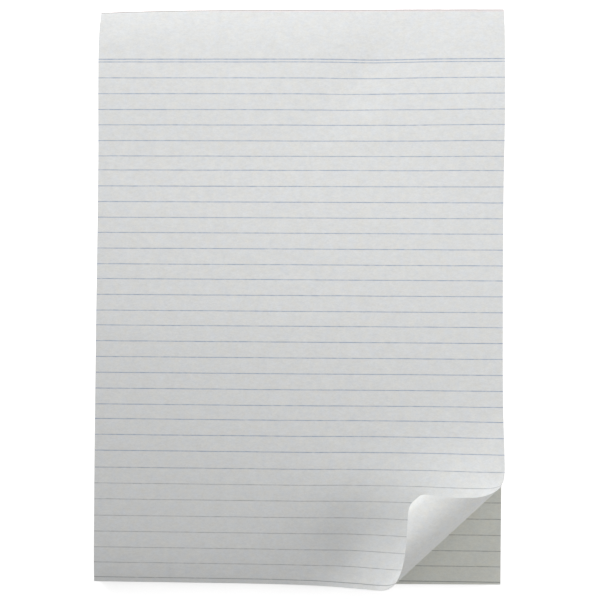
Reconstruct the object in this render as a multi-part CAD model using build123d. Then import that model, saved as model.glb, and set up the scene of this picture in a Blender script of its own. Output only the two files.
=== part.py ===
from build123d import *
import math
import os

# A4 writing pad, glued along its head, with the corner of the top leaf rolled up and over.
# Millimetres. +Z up, +Y towards the head of the page, +X to the right as the page is read.
# The origin is the centre of the board's underside, the face that the pad lies on.

# Page and stack
PAGE_WIDTH = 210.0
PAGE_LENGTH = 297.0
LEAF_THICKNESS = 0.1
LEAF_COUNT = 50
BOARD_THICKNESS = 0.9

# Padding gum brushed on the head edge
GUM_COAT = 0.35
GUM_EDGE_ROUND = 0.2

# Low hump of the top leaf below the gum, along the page from the head
HUMP_HEIGHT = 2.2
HUMP_SLOPE = 9.5
HUMP_CREST = 36.0
HUMP_SPAN = 140.0

# Rolled corner: the paper bends about straight lines that cross the corner, so its section is
# the same on every line across them. The section is a run of arcs that follow each other
# smoothly, each given by its radius on the underside and the slope that it reaches.
CURL_LINE_ANGLE = 43.1
CURL_REACH = 96.2
LEAD_RADIUS = 420.0
LEAD_SLOPE = 2.4
SWELL_RADIUS = 145.0
SWELL_SLOPE = 7.1
RISE_RADIUS = 38.2
RISE_SLOPE = 41.1
FOLD_RADIUS = 7.6
FOLD_SLOPE = 109.0
FLAP_RADIUS = 16.9
FLAP_SLOPE = 204.2
TIP_RADIUS = 3.9
CORNER_WEAR = 0.8

# Largest turn and step between two neighbouring stations of the rolled corner
STATION_TURN = 9.0
STATION_STEP = 6.0

HEAD_Y = PAGE_LENGTH / 2
FOOT_Y = -PAGE_LENGTH / 2
SIDE_X = PAGE_WIDTH / 2
BLOCK_THICKNESS = (LEAF_COUNT - 1) * LEAF_THICKNESS
LEAF_BED_Z = BOARD_THICKNESS + BLOCK_THICKNESS
STACK_TOP_Z = LEAF_BED_Z + LEAF_THICKNESS


def page_slab(low_z, thickness):
    """A slab of the page's outline, from low_z up."""
    upwards = (Align.CENTER, Align.CENTER, Align.MIN)
    return Pos(0, 0, low_z) * Box(PAGE_WIDTH, PAGE_LENGTH, thickness, align=upwards)


def hump_curves(rise):
    """The leaf's line from the head to where it lies level, lifted by rise.

    Two cubic curves meet at the crest: one leaves the gum at the hump's slope, and the other
    comes down to lie level on the block.
    """
    crest_z = LEAF_BED_Z + rise + HUMP_HEIGHT
    bed_z = LEAF_BED_Z + rise
    crest_y = HEAD_Y - HUMP_CREST
    level_y = HEAD_Y - HUMP_SPAN
    first_handle = HUMP_CREST / 3
    fall_handle = (HUMP_SPAN - HUMP_CREST) / 3
    climb = Bezier(
        (0, HEAD_Y, bed_z),
        (0, HEAD_Y - first_handle, bed_z + first_handle * math.tan(math.radians(HUMP_SLOPE))),
        (0, crest_y + first_handle, crest_z),
        (0, crest_y, crest_z),
    )
    settle = Bezier(
        (0, crest_y, crest_z),
        (0, crest_y - fall_handle, crest_z),
        (0, level_y + fall_handle, bed_z),
        (0, level_y, bed_z),
    )
    return climb, settle


def corner_point(across, along, z):
    """A point near the page's lower right corner.

    across runs over the curl lines, out towards the corner, and along runs with them.
    """
    angle = math.radians(CURL_LINE_ANGLE)
    x = SIDE_X + across * math.sin(angle) + along * math.cos(angle)
    y = FOOT_Y - across * math.cos(angle) + along * math.sin(angle)
    return Vector(x, y, z)


def leaf_before_corner():
    """The leaf from the head to the first curl line, hump included, as one bent sheet."""
    climb, settle = hump_curves(0)
    climb_top, settle_top = hump_curves(LEAF_THICKNESS)
    level_y = HEAD_Y - HUMP_SPAN
    outline = [
        climb,
        settle,
        Line((0, level_y, LEAF_BED_Z), (0, FOOT_Y, LEAF_BED_Z)),
        Line((0, FOOT_Y, LEAF_BED_Z), (0, FOOT_Y, STACK_TOP_Z)),
        Line((0, FOOT_Y, STACK_TOP_Z), (0, level_y, STACK_TOP_Z)),
        settle_top,
        climb_top,
        Line((0, HEAD_Y, STACK_TOP_Z), (0, HEAD_Y, LEAF_BED_Z)),
    ]
    section = make_face(outline)
    sheet = Pos(-SIDE_X, 0, 0) * extrude(section, amount=PAGE_WIDTH, dir=(1, 0, 0))
    angle = math.radians(CURL_LINE_ANGLE)
    rolled_part = Polyline(
        corner_point(-CURL_REACH, CURL_REACH * math.tan(angle), 0),
        corner_point(-CURL_REACH, -CURL_REACH / math.tan(angle), 0),
        corner_point(0, 0, 0),
        close=True,
    )
    cutter = extrude(make_face(rolled_part), amount=2 * STACK_TOP_Z, dir=(0, 0, 1))
    return sheet - cutter


def curl_section():
    """The section's arcs as (radius, slope at the start, slope at the end), in degrees."""
    arcs = [
        (LEAD_RADIUS, 0.0, LEAD_SLOPE),
        (SWELL_RADIUS, LEAD_SLOPE, SWELL_SLOPE),
        (RISE_RADIUS, SWELL_SLOPE, RISE_SLOPE),
        (FOLD_RADIUS, RISE_SLOPE, FOLD_SLOPE),
        (FLAP_RADIUS, FOLD_SLOPE, FLAP_SLOPE),
    ]
    used = sum(radius * math.radians(end - start) for radius, start, end in arcs)
    left = CURL_REACH - CORNER_WEAR - used
    arcs.append((TIP_RADIUS, FLAP_SLOPE, FLAP_SLOPE + math.degrees(left / TIP_RADIUS)))
    return arcs


def curl_stations():
    """Stations along the section: paper length so far, distance out, height and slope."""
    stations = [(0.0, 0.0, 0.0, 0.0)]
    for radius, start, end in curl_section():
        length, out, height, _ = stations[-1]
        arc_length = radius * math.radians(end - start)
        steps = math.ceil(max((end - start) / STATION_TURN, arc_length / STATION_STEP))
        for step in range(1, steps + 1):
            slope = math.radians(start + (end - start) * step / steps)
            first = math.radians(start)
            stations.append((
                length + radius * (slope - first),
                out + radius * (math.sin(slope) - math.sin(first)),
                height + radius * (math.cos(first) - math.cos(slope)),
                slope,
            ))
    return stations


def curl_edge(side, rise):
    """One long edge of the rolled corner, as a curve through all the stations.

    side is how far along the curl line the sheet's edge lies for each millimetre of paper
    left before the corner. rise is the distance above the underside, square to the paper.
    """
    points = []
    for length, out, height, slope in curl_stations():
        left = CURL_REACH - length
        across = out - rise * math.sin(slope) - CURL_REACH
        z = LEAF_BED_Z + height + rise * math.cos(slope)
        points.append(corner_point(across, side * left, z))
    return Edge.make_spline(points, parameters=[row[0] for row in curl_stations()])


def rolled_corner():
    """The rolled corner as a closed sheet between its foot edge and its side edge."""
    angle = math.radians(CURL_LINE_ANGLE)
    to_side = math.tan(angle)
    to_foot = -1 / math.tan(angle)
    foot_under = curl_edge(to_foot, 0)
    foot_over = curl_edge(to_foot, LEAF_THICKNESS)
    side_under = curl_edge(to_side, 0)
    side_over = curl_edge(to_side, LEAF_THICKNESS)
    faces = [
        Face.make_surface_from_curves(foot_under, side_under),
        Face.make_surface_from_curves(foot_over, side_over),
        Face.make_surface_from_curves(foot_under, foot_over),
        Face.make_surface_from_curves(side_under, side_over),
    ]
    for end in (0, 1):
        ring = [foot_under @ end, side_under @ end, side_over @ end, foot_over @ end]
        faces.append(make_face(Polyline(*ring, close=True)))
    return Solid(Shell(faces))


def top_leaf():
    """The uppermost leaf: one sheet, with its lower right corner rolled up and over."""
    return leaf_before_corner() + rolled_corner()


def head_gum():
    """The coat of gum on the head edge of board and leaves, rounded along its two outer edges."""
    upwards = (Align.CENTER, Align.MIN, Align.MIN)
    coat = Pos(0, HEAD_Y, 0) * Box(PAGE_WIDTH, GUM_COAT, STACK_TOP_Z, align=upwards)
    outer_edges = coat.edges().filter_by(Axis.X).group_by(Axis.Y)[-1]
    return fillet(outer_edges, GUM_EDGE_ROUND)


nodes = {
    "backing_board": page_slab(0, BOARD_THICKNESS),
    "leaf_block": page_slab(BOARD_THICKNESS, BLOCK_THICKNESS),
    "top_leaf": top_leaf(),
    "head_gum": head_gum(),
}

os.makedirs("parts", exist_ok=True)
for name, shape in nodes.items():
    export_step(shape, f"parts/{name}.step")
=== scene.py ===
import math

import bmesh
import bpy
import numpy as np
from bpy.props import FloatProperty, FloatVectorProperty, IntProperty, PointerProperty
from bpy.types import Operator, Panel, PropertyGroup
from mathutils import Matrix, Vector


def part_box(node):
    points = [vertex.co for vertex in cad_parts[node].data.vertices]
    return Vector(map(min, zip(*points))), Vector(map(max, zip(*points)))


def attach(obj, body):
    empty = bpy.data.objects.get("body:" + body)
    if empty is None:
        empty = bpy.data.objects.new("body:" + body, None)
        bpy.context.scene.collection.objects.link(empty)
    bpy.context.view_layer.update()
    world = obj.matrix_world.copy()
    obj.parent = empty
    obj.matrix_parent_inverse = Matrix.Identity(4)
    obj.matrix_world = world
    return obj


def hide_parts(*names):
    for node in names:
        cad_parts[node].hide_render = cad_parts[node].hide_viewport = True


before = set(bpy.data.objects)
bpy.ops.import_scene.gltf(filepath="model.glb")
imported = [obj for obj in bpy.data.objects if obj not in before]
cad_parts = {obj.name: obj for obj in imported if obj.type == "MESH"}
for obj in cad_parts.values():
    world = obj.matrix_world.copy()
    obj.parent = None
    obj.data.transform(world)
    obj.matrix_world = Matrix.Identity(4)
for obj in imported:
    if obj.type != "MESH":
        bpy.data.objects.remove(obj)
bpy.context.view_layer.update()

bl_info = {
    "name": "Ruled Writing Pad",
    "version": (1, 0, 0),
    "blender": (4, 5, 0),
    "location": "View3D > Sidebar > Writing Pad",
    "description": "Builds a head-glued ruled pad with a rolled page corner, and its studio stage",
    "category": "Add Mesh",
}

MM = 0.001

# Points closer than the first are joined, an edge shorter than the second is taken out, and a
# bend sharper than the angle stays a hard edge
WELD_DISTANCE = 1e-7
FLAT_EDGE = 1e-8
SHARP_ANGLE = math.radians(40)

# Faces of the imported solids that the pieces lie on, in metres
BOARD_LOW, BOARD_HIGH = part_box("backing_board")
BLOCK_LOW, BLOCK_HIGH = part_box("leaf_block")
GUM_LOW, GUM_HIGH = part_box("head_gum")
LEAF_LOW, LEAF_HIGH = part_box("top_leaf")

# Writing lines, and where the print slipped: from which line on, and by how much
RULE_COUNT = 34
RULE_SLIPS = (
    (1, 0.1 * MM),
    (4, -0.3 * MM),
    (6, -0.25 * MM),
    (7, -0.9 * MM),
    (8, 0.2 * MM),
    (11, -0.25 * MM),
    (14, -0.45 * MM),
    (17, -0.5 * MM),
    (23, -0.65 * MM),
    (26, 0.55 * MM),
    (29, 0.3 * MM),
    (32, -0.3 * MM),
    (33, -0.35 * MM),
)

# The page's UV map: the printed side takes the left half, and its height is counted in rules
UV_NAME = "page"
UV_FIRST_RULE = 4.0
UV_RULES = 40.0

# Where the top leaf's grid gets finer, counted from its right edge and from its foot, its steps
# over the worn corner, and the least step before them
BEND_START = 126 * MM
BEND_FINE = 66 * MM
FOOT_FINE = 64 * MM
WEAR_STEPS = 5
LEAST_STEP = 0.2 * MM

# The top leaf's soft forms, with x counted from the middle of the page and down from its head.
# All ripples rise from nothing over the gum's hold.
GUM_HOLD = 25 * MM
# Dip: where it crosses the crest, how much it slants, and its run down the page
DIP_X = 37 * MM
DIP_SLANT = 0.67
DIP_RUN = 28 * MM
# Billow: where its rise to the right starts and how wide it is, and its middle and run down
BILLOW_X = 50 * MM
BILLOW_RISE = 50 * MM
BILLOW_DOWN = 60 * MM
BILLOW_RUN = 32 * MM
# Wave: how far its top is rounded, where it starts to fade to the right and over how much, and
# over how much it fades before the foot
WAVE_ROUND = 8 * MM
WAVE_FADE_X = -10 * MM
WAVE_FADE = 80 * MM
WAVE_FOOT_FADE = 90 * MM
# Foot: over how much the leaf rises before it droops, and fades towards the rolled corner
FOOT_RISE = 110 * MM
FOOT_FADE = 30 * MM

# The cut at the lower right: where the foot's slant starts, as a share of the width, and the
# board's share of both slants
SLANT_START = 0.4
BOARD_SLANT = 0.9

# How far the stack leans out at its left, right, foot and head, from its middle leaf to its top
# one, and by which share of its thickness a leaf's cut edge is rounded
STACK_LEAN = np.array([0.10, -0.10, -0.12, 0.0]) * MM
EDGE_ROUND = 0.15

# The coat of gum: the waves that the brush left along the head, and the power of its oval
# section, which is squarer the lower it is
BRUSH_WAVES = (3, 7, 13, 22, 37)
OVAL_POWER = 0.35


def length(label, about, default):
    """A size in metres that a user can change."""
    return FloatProperty(name=label, description=about, default=default, min=0.0,
                         precision=5, subtype="DISTANCE", unit="LENGTH")


def angle(label, about, degrees):
    """An angle that a user can change, given here in degrees."""
    return FloatProperty(name=label, description=about, default=math.radians(degrees),
                         subtype="ANGLE", unit="ROTATION")


def colour(label, about, default):
    """A linear colour that a user can change."""
    return FloatVectorProperty(name=label, description=about, default=default, size=3,
                               min=0.0, max=1.0, subtype="COLOR")


def watts(label, about, default):
    """The power of a lamp that a user can change."""
    return FloatProperty(name=label, description=about, default=default, min=0.0,
                         subtype="POWER", unit="POWER")


def place(label, about, default):
    """A point in metres that a user can move."""
    return FloatVectorProperty(name=label, description=about, default=default, size=3,
                               precision=5, subtype="TRANSLATION", unit="LENGTH")


class PageSettings(PropertyGroup):
    """The flat page, its ruling and its paper."""

    width: length("Width", "Page width", LEAF_HIGH.x - LEAF_LOW.x)
    height: length("Length", "Page length from head to foot", BLOCK_HIGH.y - BLOCK_LOW.y)
    thickness: length("Leaf thickness", "Thickness of one leaf", 0.1 * MM)
    first_rule: length("First rule", "Distance from the head to the first writing line", 27.7 * MM)
    rule_pitch: length("Rule pitch", "Distance between two writing lines", 8.17 * MM)
    double_gap: length("Double line", "Gap of the double line under the header", 1.42 * MM)
    line_width: length("Line width", "Width of a printed line", 0.38 * MM)
    trim: length("Corner trim", "How far the head edge falls back at its left corner", 1.4 * MM)
    trim_along: length("Trim along", "Distance along the head over which it fades", 85.0 * MM)
    trim_down: length("Trim down", "Distance down the side over which it fades", 28.0 * MM)
    paper: colour("Paper", "Colour of the paper", (0.781, 0.791, 0.788))
    # The blank side is lighter than the front paper: painted light that brightens the rolled flap
    back: colour("Paper back", "Colour of the paper's blank side", (0.905, 0.915, 0.90))
    ink: colour("Ink", "Colour of the printed lines", (0.30, 0.37, 0.515))
    # Lines near the foot turn to this grey: painted shade, for the dimmer light there
    foot_shade_ink: colour("Tired ink", "Colour of the lines near the foot", (0.42, 0.43, 0.44))


class CurlSettings(PropertyGroup):
    """How the top leaf lifts: its hump below the gum, its soft forms and its rolled corner."""

    hump_height: length("Hump height", "Height of the leaf's hump below the gum", 1.7 * MM)
    hump_slope: angle("Hump slope", "Slope at which the leaf leaves the gum", 14.8)
    hump_crest: length("Hump crest", "Distance from the head to the hump's crest", 29.6 * MM)
    hump_span: length("Hump span", "Distance from the head to where the leaf lies level", 86.0 * MM)
    dip_depth: length("Dip depth", "Depth of the slanting dip across the hump", 1.5 * MM)
    dip_width: length("Dip width", "Distance over which the dip fades to its sides", 18.0 * MM)
    billow: length("Billow", "Height of the billow at the right edge", 1.9 * MM)
    wave: length("Wave", "Height of the soft wave across the middle", 1.2 * MM)
    wave_place: length("Wave place", "Distance from the head to the wave's top", 164.0 * MM)
    wave_run: length("Wave run", "Distance over which it fades towards the head", 38.0 * MM)
    droop: length("Foot droop", "How far the leaf comes down to its foot edge", 1.2 * MM)
    droop_run: length("Droop run", "Distance over which it comes down", 38.0 * MM)
    line_angle: angle("Curl line angle", "Angle of the curl lines from the foot edge", 43.1)
    reach: length("Curl reach", "Paper from the first curl line to the corner", 96.8 * MM)
    lead_radius: length("Lead radius", "Radius of the first, gentle arc", 420.0 * MM)
    lead_slope: angle("Lead slope", "Slope that the first arc reaches", 2.4)
    swell_radius: length("Swell radius", "Radius of the arc where the corner begins to lift", 145.0 * MM)
    swell_slope: angle("Swell slope", "Slope that this arc reaches", 7.1)
    rise_radius: length("Rise radius", "Radius of the arc that lifts the corner", 38.2 * MM)
    rise_slope: angle("Rise slope", "Slope that the lifting arc reaches", 41.1)
    fold_radius: length("Fold radius", "Radius of the tightest bend of the roll", 7.6 * MM)
    fold_slope: angle("Fold slope", "Slope that the tight bend reaches", 109.0)
    flap_radius: length("Flap radius", "Radius of the flap that comes back over", 16.9 * MM)
    flap_slope: angle("Flap slope", "Slope that the flap reaches", 204.2)
    tip_radius: length("Tip radius", "Radius of the curl at the very corner", 3.9 * MM)
    corner_round: length("Corner wear", "Radius of the worn corner of the page", 1.2 * MM)


class StackSettings(PropertyGroup):
    """The leaves under the top one, and the board that backs them."""

    leaves: IntProperty(name="Leaves", description="Leaves under the top one", default=49, min=1)
    scatter: length("Edge scatter", "How far single leaf edges stand in or out", 0.06 * MM)
    groove: length("Groove", "Depth of the groove between two leaves", 0.06 * MM)
    foot_slant: length("Foot slant", "How far the cut at the foot runs in at the right", 1.2 * MM)
    side_slant: length("Side slant", "How far the right cut runs in at the foot", 0.7 * MM)
    board_round: length("Board rounding", "Radius of the board's cut edges", 0.18 * MM)
    # The leaves below are warmer than the top leaf and their lines grey: painted shade for the second
    # leaf, which lies in the roll's shadow
    leaf: colour("Leaf", "Colour of the leaves under the top one", (0.80, 0.808, 0.748))
    ink: colour("Ink", "Colour of their printed lines", (0.33, 0.335, 0.325))
    board: colour("Board", "Colour of the grey chipboard", (0.36, 0.335, 0.295))
    dark_speck: colour("Dark speck", "Colour of the board's dark specks", (0.10, 0.09, 0.08))
    pale_speck: colour("Pale speck", "Colour of the board's pale specks", (0.62, 0.60, 0.55))


class GumSettings(PropertyGroup):
    """The coat of padding gum on the head edge."""

    coat: length("Coat", "Thickness of the gum where it is fullest", GUM_HIGH.y - GUM_LOW.y)
    unevenness: length("Unevenness", "How much the brushed coat varies", 0.12 * MM)
    tint: colour("Gum", "Colour of the dried gum", (0.55, 0.44, 0.44))
    stain: colour("Stain", "Colour of the paper where gum has soaked in", (0.80, 0.745, 0.745))
    soak: length("Soak", "How far gum has soaked into the top leaf", 1.3 * MM)
    # The seam is painted shade: the shadow where the top leaf meets the gum, laid into the paper as a
    # dark line
    seam: colour("Seam", "Colour of the dark line where leaf and gum meet", (0.42, 0.40, 0.40))
    seam_shade_width: length("Seam width", "Width of that line", 0.22 * MM)


class StageSettings(PropertyGroup):
    """Camera, soft boxes, even light and floor."""

    camera_place: place("Camera", "Place of the camera", (0.00777, -0.00602, 0.3602))
    camera_turn: FloatVectorProperty(name="Camera turn", description="Turn of the camera", size=3,
                                     default=[math.radians(a) for a in (0.63, 1.15, 0.39)],
                                     subtype="EULER", unit="ROTATION")
    lens: FloatProperty(name="Lens", description="Focal length in millimetres", default=41.12)
    far_lamp: place("Far lamp", "Place of the far soft box beyond the head", (-0.2, 1.2, 0.7))
    far_power: watts("Far power", "Power of the far soft box", 4.62)
    left_lamp: place("Left lamp", "Place of the soft box at the upper left", (-0.5, 0.5, 0.3))
    left_power: watts("Left power", "Power of the soft box at the upper left", 2.67)
    right_lamp: place("Right lamp", "Place of the soft box on the right", (0.6, 0.0, 0.3))
    right_power: watts("Right power", "Power of the soft box on the right", 1.63)
    over_lamp: place("Over lamp", "Place of the soft box above the page", (0.05, 0.12, 0.30))
    over_power: watts("Over power", "Power of the soft box above the page", 0.323)
    lamp_size: length("Lamp size", "Side of each square soft box", 0.3)
    ambient: FloatProperty(name="Ambient", description="Strength of the even light", default=0.163)
    floor: colour("Floor", "Colour of the floor", (0.86, 0.86, 0.86))
    floor_half: length("Floor reach", "Half of the floor's side", 3.0)
    floor_gap: length("Floor gap", "How far the floor lies below the pad", 0.2 * MM)
    floor_glow: FloatProperty(name="Floor glow", description="Glow of the floor at the pad",
                              default=0.68)
    glow_near: length("Glow start", "Distance at which the floor's glow starts to rise", 0.25)
    glow_far: length("Glow end", "Distance at which the floor's glow is full", 1.2)


class PadSettings(PropertyGroup):
    """All sizes and colours of the pad and its stage."""

    page: PointerProperty(type=PageSettings)
    curl: PointerProperty(type=CurlSettings)
    stack: PointerProperty(type=StackSettings)
    gum: PointerProperty(type=GumSettings)
    stage: PointerProperty(type=StageSettings)


# Meshes

def make_piece(name, patches, finishes):
    """One welded mesh from grids of points, riding on the pad's one body.

    Each patch is (points, uv, finish number): points has the shape rows, columns, 3, and the face
    of each cell looks along column direction x row direction.
    """
    places, maps, quads, numbers, count = [], [], [], [], 0
    for points, uv, number in patches:
        rows, columns = points.shape[:2]
        corner = np.arange(rows - 1)[:, None] * columns + np.arange(columns - 1) + count
        corner = corner.ravel()
        quads.append(np.stack([corner, corner + 1, corner + columns + 1, corner + columns], 1))
        numbers.append(np.full(len(corner), number))
        places.append(points.reshape(-1, 3))
        maps.append(uv.reshape(-1, 2))
        count += rows * columns
    places, maps, quads = np.concatenate(places), np.concatenate(maps), np.concatenate(quads)
    mesh = bpy.data.meshes.new(name)
    mesh.from_pydata(places, [], quads)
    layer = mesh.uv_layers.new(name=UV_NAME)
    layer.data.foreach_set("uv", maps[quads.ravel()].astype(np.float32).ravel())
    mesh.polygons.foreach_set("material_index", np.concatenate(numbers))
    welded = bmesh.new()
    welded.from_mesh(mesh)
    bmesh.ops.remove_doubles(welded, verts=welded.verts, dist=WELD_DISTANCE)
    bmesh.ops.dissolve_degenerate(welded, edges=welded.edges, dist=FLAT_EDGE)
    welded.to_mesh(mesh)
    welded.free()
    mesh.shade_smooth()
    mesh.set_sharp_from_angle(angle=SHARP_ANGLE)
    for finish in finishes:
        mesh.materials.append(finish.material)
    piece = bpy.data.objects.new(name, mesh)
    bpy.context.scene.collection.objects.link(piece)
    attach(piece, "root")
    return piece


def rule_places(page):
    """Distance from the head to each writing line: even steps, plus the slips up to that line."""
    numbers = np.arange(RULE_COUNT)
    places = page.first_rule + page.rule_pitch * numbers
    for number, slip in RULE_SLIPS:
        places = places + slip * (numbers >= number)
    return places


def rule_scale(page):
    """Distances from the head, and the rule count at each: head, every writing line and foot.

    Line k has the count k. Above the first line and below the last, the count runs on evenly.
    """
    lines = rule_places(page)
    head_count = -lines[0] / page.rule_pitch
    foot_count = RULE_COUNT - 1 + (page.height - lines[-1]) / page.rule_pitch
    places = np.concatenate([[0.0], lines, [page.height]])
    counts = np.concatenate([[head_count], np.arange(RULE_COUNT), [foot_count]])
    return places, counts


def stepped(stops, steps):
    """Numbers from the first stop to the last, with that many even steps between neighbours."""
    runs = [np.linspace(a, b, n + 1)[:-1] for a, b, n in zip(stops, stops[1:], steps)]
    return np.concatenate(runs + [stops[-1:]])


def rows_by_rule(page, steps_at):
    """Distances from the head for a grid's rows, with whole steps between neighbouring lines.

    steps_at gives the number of steps for a distance from the head.
    """
    places, _ = rule_scale(page)
    return stepped(places, [steps_at((a + b) / 2) for a, b in zip(places, places[1:])])


def page_uv(across, down, page, printed):
    """UV of points on a page: u is the share of the width, in the left half on the printed side
    and in the right half on the back, and v is the rule count, turned to run up the page."""
    places, counts = rule_scale(page)
    u = across / page.width / 2 + (0.0 if printed else 0.5)
    v = 1 - (np.interp(down, places, counts) + UV_FIRST_RULE) / UV_RULES
    return np.stack([u, v], axis=-1)


def worn_corner(across, down, page, radius):
    """Rounds the page's lower right corner of a grid.

    In the last square of side radius, the point (a, b), counted from 0 to 1 towards the corner,
    goes to (a sqrt(1 - b b / 2), b sqrt(1 - a a / 2)), which turns the square into a quarter disc.
    """
    a = np.clip((across - page.width + radius) / radius, 0, 1)
    b = np.clip((down - page.height + radius) / radius, 0, 1)
    inside = (a > 0) & (b > 0)
    across = np.where(inside, page.width + radius * (a * np.sqrt(1 - b * b / 2) - 1), across)
    down = np.where(inside, page.height + radius * (b * np.sqrt(1 - a * a / 2) - 1), down)
    return across, down


def trimmed(x, y, across, down, page):
    """Points of a page with its trimmed head corner, for any level of the pad.

    At the head's left corner they move down the page by the trim and right by half of it. Both
    fade as (1 - a)(1 - a)(1 - b)(1 - b), where a is the distance from the left over the trim's
    run along the head, and b the distance from the head over its run down the side, held at 1.
    """
    a = np.clip(across / page.trim_along, 0, 1)
    b = np.clip(down / page.trim_down, 0, 1)
    shift = page.trim * (1 - a) ** 2 * (1 - b) ** 2
    return x + shift / 2, y - shift


def slanted(x, y, share_x, share_y, stack, amount=1.0):
    """Points of a leaf whose cut isn't quite square at the lower right corner.

    The foot runs in evenly from the slant's start to the right, less and less up to the head. The
    right side runs in over the lower half of the page, less and less across to the left.
    """
    foot = np.clip((share_x - SLANT_START) / (1 - SLANT_START), 0, 1) * (1 - share_y)
    side = np.clip(1 - 2 * share_y, 0, 1) * share_x
    return x - amount * stack.side_slant * side, y + amount * stack.foot_slant * foot


def smooth_step(share):
    """0 up to 0, 1 from 1 on, and s s (3 - 2 s) between."""
    share = np.clip(share, 0, 1)
    return share * share * (3 - 2 * share)


def hump_lift(down, curl):
    """Height of the hump: two cubics that meet level at the crest.

    From the head, with t from 0 to 1 at the crest, it is 3 t (1 - t)^2 times a third of the crest
    distance times the slope, plus the crest height times t t (3 - 2 t). From the crest to where
    the leaf lies level, it is the crest height times 1 - 3 t t + 2 t t t.
    """
    t = np.clip(down / curl.hump_crest, 0, 1)
    handle = curl.hump_crest / 3 * math.tan(curl.hump_slope)
    climb = 3 * t * (1 - t) ** 2 * handle + curl.hump_height * t * t * (3 - 2 * t)
    t = np.clip((down - curl.hump_crest) / (curl.hump_span - curl.hump_crest), 0, 1)
    settle = curl.hump_height * (1 - 3 * t * t + 2 * t ** 3)
    return np.where(down < curl.hump_crest, climb, settle)


def foot_lift(x, down, page, curl):
    """Height of the leaf above its bed towards the foot, where it comes down again.

    It is the droop, times a smooth step over the foot's rise before the droop's run, times
    1 - t^4, with t from 0 to 1 over that run. It fades towards the rolled corner.
    """
    start = page.height - curl.droop_run
    t = np.clip((down - start) / curl.droop_run, 0, 1)
    rise = smooth_step((down - start) / FOOT_RISE + 1)
    return curl.droop * rise * (1 - t ** 4) * (1 - smooth_step(x / FOOT_FADE))


def ripple_lift(x, down, page, curl):
    """Height of the leaf's soft ripples: two near its upper right corner, and a wave across it.

    A dip slants over the hump: minus its depth, times exp(-s s) of the distance from its slanting
    line over its width, times exp(-t t) of the distance down from the crest over its run. A billow
    fills the right edge: its height, times a smooth step over its rise, times exp(-w w) of the
    distance down from its middle over its run. A wave lies across the page and fades towards the
    right: its height times exp(-d over its run), where d is the distance from its top, rounded
    off there, and the run is twice as long below it. It ends with a smooth step before the foot.
    All start from nothing at the gum.
    """
    from_crest = down - curl.hump_crest
    from_line = x - (DIP_X - DIP_SLANT * from_crest)
    dip = np.exp(-(from_line / curl.dip_width) ** 2 - (from_crest / DIP_RUN) ** 2)
    billow = np.exp(-((down - BILLOW_DOWN) / BILLOW_RUN) ** 2)
    billow *= smooth_step((x - BILLOW_X) / BILLOW_RISE)
    from_top = np.hypot(down - curl.wave_place, WAVE_ROUND) - WAVE_ROUND
    run = np.where(down < curl.wave_place, 1, 2) * curl.wave_run
    wave = np.exp(-from_top / run) * (1 - smooth_step((x - WAVE_FADE_X) / WAVE_FADE))
    wave *= smooth_step((page.height - down) / WAVE_FOOT_FADE)
    from_gum = np.clip(down / GUM_HOLD, 0, 1)
    return from_gum * (curl.billow * billow - curl.dip_depth * dip + curl.wave * wave)


def curl_arcs(curl):
    """The roll's section: where each arc starts along the paper, its radius and first slope."""
    arcs, start, slope = [], 0.0, 0.0
    for radius, reached in (
        (curl.lead_radius, curl.lead_slope),
        (curl.swell_radius, curl.swell_slope),
        (curl.rise_radius, curl.rise_slope),
        (curl.fold_radius, curl.fold_slope),
        (curl.flap_radius, curl.flap_slope),
    ):
        arcs.append((start, radius, slope))
        start += radius * (reached - slope)
        slope = reached
    arcs.append((start, curl.tip_radius, slope))
    return arcs


def roll(paper, curl):
    """Distance out, height and slope for lengths of paper past the first curl line.

    On an arc of radius r that starts at slope a, a length l of paper reaches the slope a + l / r,
    goes out by r (sin slope - sin a) and rises by r (cos a - cos slope).
    """
    out, height, slope = paper.copy(), np.zeros_like(paper), np.zeros_like(paper)
    arcs = curl_arcs(curl)
    out_before = height_before = 0.0
    for (start, radius, first), following in zip(arcs, arcs[1:] + [None]):
        here = paper > start
        turned = first + (paper[here] - start) / radius
        out[here] = out_before + radius * (np.sin(turned) - math.sin(first))
        height[here] = height_before + radius * (math.cos(first) - np.cos(turned))
        slope[here] = turned
        if following:
            last = following[2]
            out_before += radius * (math.sin(last) - math.sin(first))
            height_before += radius * (math.cos(first) - math.cos(last))
    return out, height, slope


def leaf_points(across, down, rise, pad):
    """Places of points of the top leaf, given on the flat page and lifted off its underside.

    The page is bent about lines that cross its corner: a point moves along the direction square
    to those lines by the roll's distance out less the paper's length, and up by its height.
    The hump and the soft forms lift it as well, and rise is laid off square to the bent paper.
    """
    page, curl = pad.page, pad.curl
    x, y = trimmed(across - page.width / 2, page.height / 2 - down, across, down, page)
    to_corner = np.array([math.sin(curl.line_angle), -math.cos(curl.line_angle)])
    paper = (x - page.width / 2) * to_corner[0] + (y + page.height / 2) * to_corner[1] + curl.reach
    out, height, slope = roll(paper, curl)
    shift = out - paper - rise * np.sin(slope)
    lift = hump_lift(down, curl) + ripple_lift(x, down, page, curl) + foot_lift(x, down, page, curl)
    lift = np.maximum(lift, 0.0)
    z = BLOCK_HIGH.z + lift + height + rise * np.cos(slope)
    return np.stack([x + shift * to_corner[0], y + shift * to_corner[1], z], axis=-1)


def ring(grid):
    """The border of a grid, once round and closed: foot edge, right, head edge and left."""
    return np.concatenate([grid[0, :-1], grid[:-1, -1], grid[-1, :0:-1], grid[:0:-1, 0], grid[:1, 0]])


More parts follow.
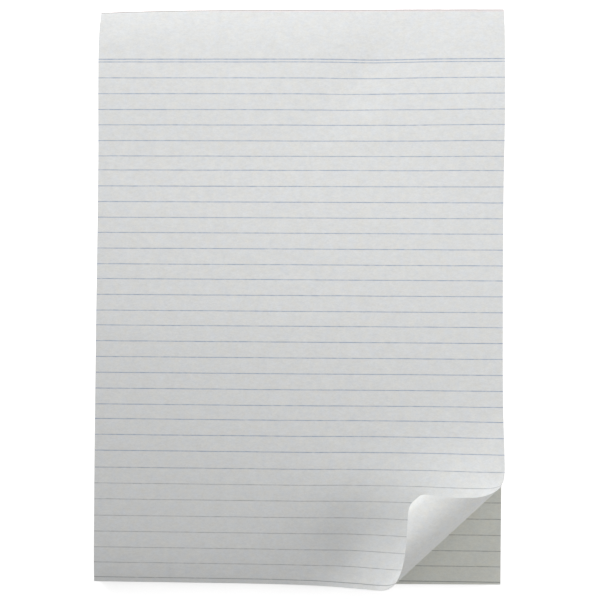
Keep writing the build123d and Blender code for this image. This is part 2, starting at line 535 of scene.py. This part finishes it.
class PAD_OT_top_leaf(Operator):
    """Add the top leaf, one bent sheet with its lower right corner rolled up and over"""

    bl_idname = "pad.top_leaf"
    bl_label = "Top Leaf"

    def execute(self, context):
        pad = context.scene.pad
        page, wear = pad.page, pad.curl.corner_round
        stops = [page.width - left for left in (page.width, BEND_START, BEND_FINE, wear, 0.0)]
        columns = stepped(stops, (14, 20, 65, WEAR_STEPS))
        rows = rows_by_rule(page, lambda down: 8 if down > page.height - FOOT_FINE else 3)
        rows = rows[rows < page.height - wear - LEAST_STEP]
        worn_rows = stepped([page.height - wear, page.height], [WEAR_STEPS])
        rows = np.concatenate([rows, worn_rows])
        # Rows run up the page, so that the printed side looks up
        across, down = np.meshgrid(columns, rows[::-1])
        across, down = worn_corner(across, down, page, wear)
        under = leaf_points(across, down, 0.0, pad)
        over = leaf_points(across, down, page.thickness, pad)
        front = page_uv(across, down, page, True)
        back = page_uv(across, down, page, False)
        rim = np.stack([ring(under), ring(over)])
        rim_uv = np.stack([ring(back), ring(back)])
        finish = paper_finish(pad, "ruled_paper", page.paper, page.back, page.ink,
                              page.foot_shade_ink, stain_and_seam_shade=True)
        piece = make_piece("ruled_top_leaf", [
            (over, front, 0),
            (under[:, ::-1], back[:, ::-1], 0),
            (rim, rim_uv, 0),
        ], [finish])
        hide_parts("top_leaf")
        return {"FINISHED"}


class PAD_OT_leaf_stack(Operator):
    """Add the leaves under the top one, each with its own cut edge"""

    bl_idname = "pad.leaf_stack"
    bl_label = "Leaf Stack"

    def execute(self, context):
        pad = context.scene.pad
        page, stack = pad.page, pad.stack
        rows = rows_by_rule(page, lambda down: 1)
        columns = np.linspace(0, page.width, 13)
        across, down = np.meshgrid(columns, rows[::-1])
        back = page_uv(across, down, page, False)
        share_x, share_y = across / page.width, 1 - down / page.height

        # Each leaf stands in or out by its own small amount at its left, right and foot, and the
        # whole stack leans a little. At the head all leaves stand level in the gum.
        random = np.random.default_rng(11)
        edges = random.uniform(-1, 1, (stack.leaves, 4)) * stack.scatter
        edges += np.linspace(-1, 1, stack.leaves)[:, None] * STACK_LEAN
        edges[:, 3] = 0.0

        # Three levels for each leaf: the two ends of its straight cut, and the groove above it
        leaf = (BLOCK_HIGH.z - BLOCK_LOW.z) / stack.leaves
        between = np.minimum(edges[:-1], edges[1:]) - stack.groove
        between = np.concatenate([between, edges[-1:]])
        low = BLOCK_LOW.z + leaf * np.arange(stack.leaves)[:, None]
        levels = (low + leaf * np.array([EDGE_ROUND, 1 - EDGE_ROUND, 1.0])).ravel()
        levels = np.concatenate([[BLOCK_LOW.z], levels])
        out = np.stack([edges, edges, between], axis=1).reshape(-1, 4)
        out = np.concatenate([edges[:1], out])

        def page_at(outs, z):
            """The page's grid at one level, with its four sides moved out."""
            left, right, foot, head = outs
            x = -page.width / 2 - left + share_x * (page.width + left + right)
            y = -page.height / 2 - foot + share_y * (page.height + foot + head)
            x, y = slanted(*trimmed(x, y, across, down, page), share_x, share_y, stack)
            return np.stack([x, y, np.full_like(x, z)], axis=-1)

        wall = np.stack([ring(page_at(o, z)) for o, z in zip(out, levels)])
        wall_uv = np.broadcast_to(ring(back), wall.shape[:2] + (2,))
        # The ruling stays in its place where the cut moves, so the top's UV is read off its points
        top = page_at(out[-1], levels[-1])
        front = page_uv(top[..., 0] + page.width / 2, page.height / 2 - top[..., 1], page, True)
        bottom = page_at(out[0], levels[0])
        # Warmer paper and grey lines: painted shade of the roll over the second leaf
        paper = paper_finish(pad, "ruled_leaf_below", stack.leaf, stack.leaf, stack.ink, stack.ink)
        piece = make_piece("leaf_stack", [
            (top, front, 0),
            (bottom[:, ::-1], back[:, ::-1], 0),
            (wall, wall_uv, 1),
        ], [paper, cut_edge_finish(pad)])
        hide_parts("leaf_block")
        return {"FINISHED"}


class PAD_OT_backing_board(Operator):
    """Add the chipboard back, with softly rounded cut edges"""

    bl_idname = "pad.backing_board"
    bl_label = "Backing Board"

    def execute(self, context):
        pad = context.scene.pad
        page, stack = pad.page, pad.stack
        share_x, share_y = np.meshgrid(np.linspace(0, 1, 31), np.linspace(0, 1, 41))
        thickness = BOARD_HIGH.z - BOARD_LOW.z
        # A quarter turn rounds each of the two edges
        turn = np.linspace(-math.pi / 2, 0, 5)
        inset = stack.board_round * (1 - np.cos(turn))
        lift = stack.board_round * (1 + np.sin(turn))
        insets = np.concatenate([inset, inset[::-1]])
        levels = np.concatenate([lift, thickness - lift[::-1]]) + BOARD_LOW.z

        def board_at(inset, z):
            """The board's grid at one level, drawn in by inset on all sides."""
            x = (2 * share_x - 1) * (page.width / 2 - inset)
            y = (2 * share_y - 1) * (page.height / 2 - inset)
            x, y = trimmed(x, y, share_x * page.width, (1 - share_y) * page.height, page)
            x, y = slanted(x, y, share_x, share_y, stack, BOARD_SLANT)
            return np.stack([x, y, np.full_like(x, z)], axis=-1)

        wall = np.stack([ring(board_at(i, z)) for i, z in zip(insets, levels)])
        top = board_at(insets[-1], levels[-1])
        bottom = board_at(insets[0], levels[0])
        flat = np.stack([share_x, share_y], axis=-1)
        wall_uv = np.broadcast_to(ring(flat), wall.shape[:2] + (2,))
        piece = make_piece("chipboard_back", [
            (top, flat, 0),
            (bottom[:, ::-1], flat[:, ::-1], 0),
            (wall, wall_uv, 0),
        ], [board_finish(pad)])
        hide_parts("backing_board")
        return {"FINISHED"}


class PAD_OT_head_gum(Operator):
    """Add the brushed coat of padding gum on the head edge"""

    bl_idname = "pad.head_gum"
    bl_label = "Head Gum"

    def execute(self, context):
        pad = context.scene.pad
        page, gum = pad.page, pad.gum
        along = np.linspace(-page.width / 2, page.width / 2, 141)
        random = np.random.default_rng(5)
        waves = sum(
            np.sin(along * turns * math.tau / page.width + random.uniform(0, math.tau)) / turns ** 0.5
            for turns in BRUSH_WAVES
        )
        waves = (waves - waves.min()) / (waves.max() - waves.min())
        full = gum.coat - gum.unevenness * waves
        # Half an oval across the pad's thickness, from its lower to its upper edge
        turn = np.linspace(-math.pi / 2, math.pi / 2, 17)
        out = np.cos(turn) ** OVAL_POWER
        up = np.sign(np.sin(turn)) * np.abs(np.sin(turn)) ** OVAL_POWER
        low, high = GUM_LOW.z, GUM_HIGH.z
        y = GUM_LOW.y + out[:, None] * full
        z = np.broadcast_to((low + high) / 2 + up[:, None] * (high - low) / 2, y.shape)
        x, y = trimmed(np.broadcast_to(along, y.shape), y, along + page.width / 2, 0.0, page)
        face = np.stack([x, y, z], axis=-1)
        inner = np.stack([face[0], face[-1]])
        shares = [np.linspace(0, 1, len(steps)) for steps in (along, turn)]
        uv = np.stack(np.meshgrid(*shares), axis=-1)
        inner_uv = np.stack([uv[0], uv[-1]])
        # Each end is closed by a strip between the lower and the upper half of its outline
        ends = []
        half = len(turn) // 2 + 1
        for column, turned in ((0, 1), (-1, -1)):
            strip, strip_uv = (
                np.stack([grid[:half, column], grid[::-1, column][:half]], axis=1)[:, ::turned]
                for grid in (face, uv)
            )
            ends.append((strip, strip_uv, 0))
        piece = make_piece("padding_gum", [
            (face[:, ::-1], uv[:, ::-1], 0),
            (inner, inner_uv, 0),
        ] + ends, [gum_finish(pad)])
        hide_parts("head_gum")
        return {"FINISHED"}


class PAD_OT_stage(Operator):
    """Add the camera, the soft boxes, the even light and the pale floor"""

    bl_idname = "pad.stage"
    bl_label = "Stage"

    def execute(self, context):
        scene, stage = context.scene, context.scene.pad.stage
        scene.view_settings.view_transform = "Standard"
        camera = bpy.data.cameras.new("camera")
        camera.lens = stage.lens
        holder = bpy.data.objects.new("camera", camera)
        holder.location = stage.camera_place
        holder.rotation_euler = stage.camera_turn
        scene.collection.objects.link(holder)
        scene.camera = holder

        middle = Vector((0.0, 0.0, 0.0))
        self.add_lamp(scene, "far_lamp", stage.far_lamp, middle, stage.far_power)
        self.add_lamp(scene, "left_lamp", stage.left_lamp, middle, stage.left_power)
        self.add_lamp(scene, "right_lamp", stage.right_lamp, middle, stage.right_power)
        below = Vector((stage.over_lamp[0], stage.over_lamp[1], 0.0))
        self.add_lamp(scene, "over_lamp", stage.over_lamp, below, stage.over_power)

        world = bpy.data.worlds.new("studio")
        world.use_nodes = True
        scene.world = world
        nodes = Nodes(world.node_tree)
        background = world.node_tree.nodes["Background"]
        nodes.feed(background.inputs["Color"], solid((1.0, 1.0, 1.0)))
        level = nodes.seen() * (1.0 - stage.ambient) + stage.ambient
        nodes.feed(background.inputs["Strength"], level)

        half = stage.floor_half
        mesh = bpy.data.meshes.new("floor")
        mesh.from_pydata([(-half, -half, 0), (half, -half, 0), (half, half, 0), (-half, half, 0)],
                         [], [(0, 1, 2, 3)])
        floor = bpy.data.objects.new("floor", mesh)
        floor.location.z = -stage.floor_gap
        mesh.materials.append(floor_finish(stage).material)
        scene.collection.objects.link(floor)
        return {"FINISHED"}

    @staticmethod
    def add_lamp(scene, name, place, aim, power):
        """A square soft box that faces the point aim, and that the camera doesn't see."""
        lamp = bpy.data.lights.new(name, "AREA")
        lamp.shape = "SQUARE"
        lamp.size = scene.pad.stage.lamp_size
        lamp.energy = power
        holder = bpy.data.objects.new(name, lamp)
        holder.location = place
        holder.rotation_euler = (aim - Vector(place)).to_track_quat("-Z", "Y").to_euler()
        holder.visible_camera = False
        scene.collection.objects.link(holder)


# Finishes

class Value:
    """A number that a node puts out. Sums, products and tests on values add Math nodes."""

    def __init__(self, nodes, socket):
        self.nodes = nodes
        self.socket = socket

    def maths(self, operation, *terms):
        """A Math node of that operation on the terms."""
        return self.nodes.node("ShaderNodeMath", {"operation": operation}, dict(enumerate(terms)))

    def __add__(self, other):
        return self.maths("ADD", self, other)

    def __sub__(self, other):
        return self.maths("SUBTRACT", self, other)

    def __rsub__(self, other):
        return self.maths("SUBTRACT", other, self)

    def __mul__(self, other):
        return self.maths("MULTIPLY", self, other)

    def __truediv__(self, other):
        return self.maths("DIVIDE", self, other)

    def __lt__(self, other):
        return self.maths("LESS_THAN", self, other)

    def __gt__(self, other):
        return self.maths("GREATER_THAN", self, other)

    def __abs__(self):
        return self.maths("ABSOLUTE", self)

    __radd__ = __add__
    __rmul__ = __mul__

    def fraction(self):
        """The part after the point."""
        return self.maths("FRACT", self)

    def whole(self):
        """The whole number below."""
        return self.maths("FLOOR", self)

    def clamped(self):
        """The value held between 0 and 1."""
        return self.nodes.node("ShaderNodeClamp", {}, {0: self})


class Nodes:
    """A node tree, and the one way in which nodes are added to it."""

    def __init__(self, tree):
        self.tree = tree

    def node(self, kind, settings, values, output=0):
        """Adds a node: its settings are set first, and then its sockets get numbers or links."""
        made = self.tree.nodes.new(kind)
        for setting, value in settings.items():
            setattr(made, setting, value)
        for socket, value in values.items():
            self.feed(made.inputs[socket], value)
        return Value(self, made.outputs[output])

    def feed(self, socket, value):
        """Links a value to a socket, or sets the socket to a number or colour."""
        if isinstance(value, Value):
            self.tree.links.new(value.socket, socket)
        else:
            socket.default_value = value

    def seen(self):
        """1 for a ray from the camera, a reflection or glass, and 0 for one that lights a surface."""
        path = self.node("ShaderNodeLightPath", {}, {}, output="Is Camera Ray")
        outputs = path.socket.node.outputs
        glossy = Value(self, outputs["Is Glossy Ray"])
        clear = Value(self, outputs["Is Transmission Ray"])
        return (path + glossy + clear).clamped()


class Finish(Nodes):
    """A material, and the patterns that its shader takes."""

    def __init__(self, name, specular, roughness=0.5):
        self.material = bpy.data.materials.new(name)
        self.material.use_nodes = True
        super().__init__(self.material.node_tree)
        self.shader = self.tree.nodes["Principled BSDF"]
        self.set("Roughness", roughness)
        self.set("Specular IOR Level", specular)

    def set(self, socket, value):
        """Feeds a socket of the shader."""
        self.feed(self.shader.inputs[socket], value)

    def place(self):
        """Object coordinates, in metres."""
        return self.node("ShaderNodeTexCoord", {}, {}, output="Object")

    def page(self):
        """The page's own UV, as u, v and an unused third value."""
        return self.split(self.node("ShaderNodeUVMap", {"uv_map": UV_NAME}, {}))

    def split(self, vector):
        """The x, y and z of a vector."""
        parts = self.node("ShaderNodeSeparateXYZ", {}, {0: vector}).socket.node
        return [Value(self, output) for output in parts.outputs]

    def joined(self, x, y, z=0.0):
        """A vector of three values."""
        return self.node("ShaderNodeCombineXYZ", {}, {0: x, 1: y, 2: z})

    def stretched(self, vector, scale):
        """A vector multiplied by a scale on each axis."""
        return self.node("ShaderNodeMapping", {}, {"Vector": vector, "Scale": scale})

    def noise(self, vector, scale, detail=2.0, roughness=0.5):
        """Smooth noise about 0.5, with features of 1 / scale in the vector's own unit."""
        return self.node("ShaderNodeTexNoise", {}, {
            "Vector": vector, "Scale": scale, "Detail": detail, "Roughness": roughness,
        })

    def cells(self, vector, scale):
        """Distance to the nearest of scattered points, about one each 1 / scale metres."""
        return self.node("ShaderNodeTexVoronoi", {}, {"Vector": vector, "Scale": scale})

    def ramp(self, value, low, high):
        """0 at low and 1 at high, with a smooth step between them."""
        return self.node("ShaderNodeMapRange", {"interpolation_type": "SMOOTHSTEP"}, {
            "Value": value, "From Min": low, "From Max": high,
        })

    def mixed(self, share, first, second):
        """A colour between two, by share."""
        return self.node("ShaderNodeMix", {"data_type": "RGBA"}, {0: share, 6: first, 7: second},
                         output=2)

    def tinted(self, base, red, green, blue):
        """A colour with its red, green and blue each multiplied by an amount."""
        return self.node("ShaderNodeMix", {"data_type": "RGBA", "blend_type": "MULTIPLY"}, {
            0: 1.0, 6: base, 7: self.joined(red, green, blue),
        }, output=2)

    def shaded(self, base, amount):
        """A colour made lighter or darker: multiplied by amount."""
        return self.tinted(base, amount, amount, amount)

    def bump(self, height, strength, distance):
        """Feeds the shader's normal from a height between 0 and 1."""
        self.set("Normal", self.node("ShaderNodeBump", {}, {
            "Strength": strength, "Distance": distance, "Height": height,
        }))


def solid(rgb):
    """A colour with full alpha."""
    return (*rgb, 1.0)


# Printed lines: how softly they end, how far they wander, how much bolder the double line's
# upper one is, and the counts between which they turn greyer and weaker, as painted shade
SOFT_EDGE = 0.06 * MM
LINE_WANDER = 0.25 * MM
DOUBLE_BOLD = 1.25
FOOT_SHADE_RULES = (24.5, 27.5)

# Distances from the left edge between which the gum starts to soak into the top leaf
SOAK_START = (25.0 * MM, 105.0 * MM)


def paper_tooth(finish, place):
    """Height of the paper's fine tooth: felted fibres that lie along the lines, in clumps."""
    along_fibres = finish.stretched(place, (0.45, 1.0, 1.0))
    fibres = finish.noise(along_fibres, scale=2200.0, detail=3.0, roughness=0.65)
    clumps = finish.noise(finish.stretched(place, (0.6, 1.0, 1.0)), scale=700.0)
    return fibres * 0.6 + clumps * 0.4


def paper_finish(pad, name, front, back, line_ink, foot_shade_ink, stain_and_seam_shade=False):
    """Uncoated white paper, ruled in pale blue on its printed side only.

    A page with gum stain has taken up a little gum along its head edge, with painted shade at the gum.
    """
    page, gum = pad.page, pad.gum
    finish = Finish(name, roughness=0.9, specular=0.2)
    place = finish.place()
    u, v, _ = finish.page()
    across = u * (2 * page.width)
    count = (1.0 - v) * UV_RULES - UV_FIRST_RULE
    printed = u < 0.5

    # Each line wanders a little from its place. The upper one of the double line is bolder.
    wander = finish.noise(finish.joined(across * 90.0, count * 0.9), scale=1.0) - 0.5
    wander = wander * LINE_WANDER
    from_rule = abs(((count + 0.5).fraction() - 0.5) * page.rule_pitch + wander)
    from_double = abs(count * page.rule_pitch + page.double_gap + wander)
    half = page.line_width / 2
    bold = half * DOUBLE_BOLD
    line = 1.0 - finish.ramp(from_rule, half - SOFT_EDGE, half + SOFT_EDGE)
    line = line * (count > -0.05) * (count < RULE_COUNT - 0.5)
    double = 1.0 - finish.ramp(from_double, bold - SOFT_EDGE, bold + SOFT_EDGE)

    # The ink lies unevenly along a line. Towards the foot the lines turn greyer and weaker as painted
    # shade, and the last line is drawn darker as painted shade of the foot edge.
    run = finish.joined(across, (count + 0.5).whole() * 0.37)
    run = finish.stretched(run, (260.0, 40.0, 1.0))
    taken = finish.noise(run, scale=1.0, detail=3.0, roughness=0.6)
    # Painted shade: from these counts on, the lines turn greyer and weaker towards the foot
    foot_shade = finish.ramp(count, *FOOT_SHADE_RULES)
    # The last line is drawn darker than printed: painted shade of the foot edge
    last = count > RULE_COUNT - 1.5
    strength = (0.8 + (taken - 0.5) * 1.8) * (1.0 - foot_shade * 0.2 + last * 0.7)
    ink = (line + double).clamped() * printed * strength.clamped()

    cloud = finish.noise(place, scale=160.0, detail=3.0)
    tooth = paper_tooth(finish, place)
    shade = (cloud - 0.5) * 0.09 + (tooth - 0.5) * 0.34 + 1.0
    warmth = finish.noise(place, scale=260.0, detail=4.0, roughness=0.75) - 0.5
    # On the top leaf the blank side is lighter than the front: painted light on the rolled flap
    paper = finish.mixed(printed, solid(back), solid(front))
    if stain_and_seam_shade:
        reach = finish.noise(finish.stretched(place, (70.0, 20.0, 20.0)), scale=1.0) * 0.9 + 0.55
        from_head = count * page.rule_pitch + page.first_rule
        soaked = 1.0 - finish.ramp(from_head / gum.soak, reach * 0.7, reach)
        soaked = soaked * finish.ramp(across, *SOAK_START)
        paper = finish.mixed(soaked * 0.8, paper, solid(gum.stain))
        # A dark line along the head edge, where the leaf meets the gum: painted shade
        seam = 1.0 - finish.ramp(from_head, gum.seam_shade_width * 0.8, gum.seam_shade_width * 1.3)
        paper = finish.mixed(seam * printed, paper, solid(gum.seam))
    paper = finish.tinted(paper, shade + warmth * 0.08, shade, shade - warmth * 0.15)
    colour_of_ink = finish.mixed(foot_shade, solid(line_ink), solid(foot_shade_ink))
    finish.set("Base Color", finish.mixed(ink, paper, colour_of_ink))
    finish.bump(tooth, strength=0.5, distance=0.06 * MM)
    return finish


def cut_edge_finish(pad):
    """The guillotined edges of the leaves: paper, a little different from leaf to leaf."""
    stack = pad.stack
    finish = Finish("cut_leaf_edges", roughness=0.92, specular=0.15)
    place = finish.place()
    _, _, z = finish.split(place)
    leaf = (BLOCK_HIGH.z - BLOCK_LOW.z) / stack.leaves
    number = ((z - BLOCK_LOW.z) / leaf).whole()
    own = finish.node("ShaderNodeTexWhiteNoise", {"noise_dimensions": "1D"}, {"W": number})
    drag = finish.noise(finish.stretched(place, (120.0, 120.0, 2500.0)), scale=1.0)
    shade = 0.88 + own * 0.05 + drag * 0.10
    finish.set("Base Color", finish.shaded(solid(stack.leaf), shade))
    finish.bump(drag, strength=0.3, distance=0.03 * MM)
    return finish


def board_finish(pad):
    """Grey chipboard: felted waste pulp with pale and dark specks and short fibres."""
    stack = pad.stack
    finish = Finish("grey_chipboard", roughness=0.93, specular=0.15)
    place = finish.place()
    cloud = finish.noise(place, scale=60.0, detail=4.0, roughness=0.6)
    pulp = finish.noise(place, scale=900.0, detail=4.0, roughness=0.7)
    fibres_across, fibres_down = (
        finish.noise(finish.stretched(place, stretch), scale=1.0, detail=3.0, roughness=0.6)
        for stretch in ((300.0, 2200.0, 300.0), (2400.0, 350.0, 300.0))
    )
    shade = 0.62 + cloud * 0.25 + pulp * 0.30 + fibres_across * 0.12 + fibres_down * 0.10
    base = finish.shaded(solid(stack.board), shade)
    dark = 1.0 - finish.ramp(finish.cells(place, 420.0), 0.05, 0.13)
    pale = 1.0 - finish.ramp(finish.cells(place, 310.0), 0.04, 0.12)
    base = finish.mixed(dark * 0.6, base, solid(stack.dark_speck))
    base = finish.mixed(pale * 0.5, base, solid(stack.pale_speck))
    finish.set("Base Color", base)
    finish.bump(pulp * 0.6 + fibres_across * 0.4, strength=0.5, distance=0.06 * MM)
    return finish


def gum_finish(pad):
    """Dried padding gum: a thin tinted film, streaked along the head by the brush.

    The leaves' edges show through it as fine ridges, one for each leaf's thickness.
    """
    page, gum = pad.page, pad.gum
    finish = Finish("padding_gum", specular=0.4)
    place = finish.place()
    brushed = finish.stretched(place, (30.0, 500.0, 1400.0))
    streaks = finish.noise(brushed, scale=1.0, detail=3.0, roughness=0.6)
    patches = finish.noise(finish.stretched(place, (45.0, 200.0, 260.0)), scale=1.0)
    thin = finish.ramp(streaks * 0.6 + patches * 0.4, 0.52, 0.66)
    base = finish.mixed(thin * 0.3, solid(gum.tint), solid(page.paper))
    _, _, z = finish.split(place)
    ridges = abs((z / page.thickness).fraction() - 0.5)
    finish.set("Base Color", base)
    finish.set("Roughness", 0.38 + patches * 0.2)
    finish.bump(streaks * 0.7 + ridges * 0.3, strength=0.4, distance=0.06 * MM)
    return finish


def floor_finish(stage):
    """Pale floor that the camera sees as white, less the soft shadow of the pad.

    Its glow rises with the distance from the pad, as the lamps' light falls.
    """
    finish = Finish("floor", roughness=0.9, specular=0.0)
    finish.set("Base Color", solid(stage.floor))
    reach = finish.node("ShaderNodeVectorMath", {"operation": "LENGTH"}, {0: finish.place()},
                        output="Value")
    rise = finish.ramp(reach, stage.glow_near, stage.glow_far) * (1.0 - stage.floor_glow)
    glow = (stage.floor_glow + rise) * finish.seen()
    finish.set("Emission Color", finish.joined(glow, glow, glow))
    finish.set("Emission Strength", 1.0)
    return finish


class PAD_PT_panel(Panel):
    """The pad's sizes, and a button for each piece"""

    bl_idname = "PAD_PT_panel"
    bl_label = "Writing Pad"
    bl_space_type = "VIEW_3D"
    bl_region_type = "UI"
    bl_category = "Writing Pad"

    def draw(self, context):
        pad = context.scene.pad
        for title, settings in (
            ("Page", pad.page), ("Curl", pad.curl), ("Stack", pad.stack),
            ("Gum", pad.gum), ("Stage", pad.stage),
        ):
            box = self.layout.box()
            box.label(text=title)
            for name in settings.__annotations__:
                box.prop(settings, name)
        for operator in PIECES:
            self.layout.operator(operator.bl_idname)


PIECES = (
    PAD_OT_stage,
    PAD_OT_top_leaf,
    PAD_OT_leaf_stack,
    PAD_OT_backing_board,
    PAD_OT_head_gum,
)
GROUPS = (PageSettings, CurlSettings, StackSettings, GumSettings, StageSettings, PadSettings)


def register():
    for each in (*GROUPS, *PIECES, PAD_PT_panel):
        bpy.utils.register_class(each)
    bpy.types.Scene.pad = PointerProperty(type=PadSettings)


def unregister():
    del bpy.types.Scene.pad
    for each in reversed((*GROUPS, *PIECES, PAD_PT_panel)):
        bpy.utils.unregister_class(each)


def main():
    """Builds the stage and every piece."""
    register()
    bpy.ops.pad.stage()
    bpy.ops.pad.top_leaf()
    bpy.ops.pad.leaf_stack()
    bpy.ops.pad.backing_board()
    bpy.ops.pad.head_gum()


if __name__ == "__main__":
    main()
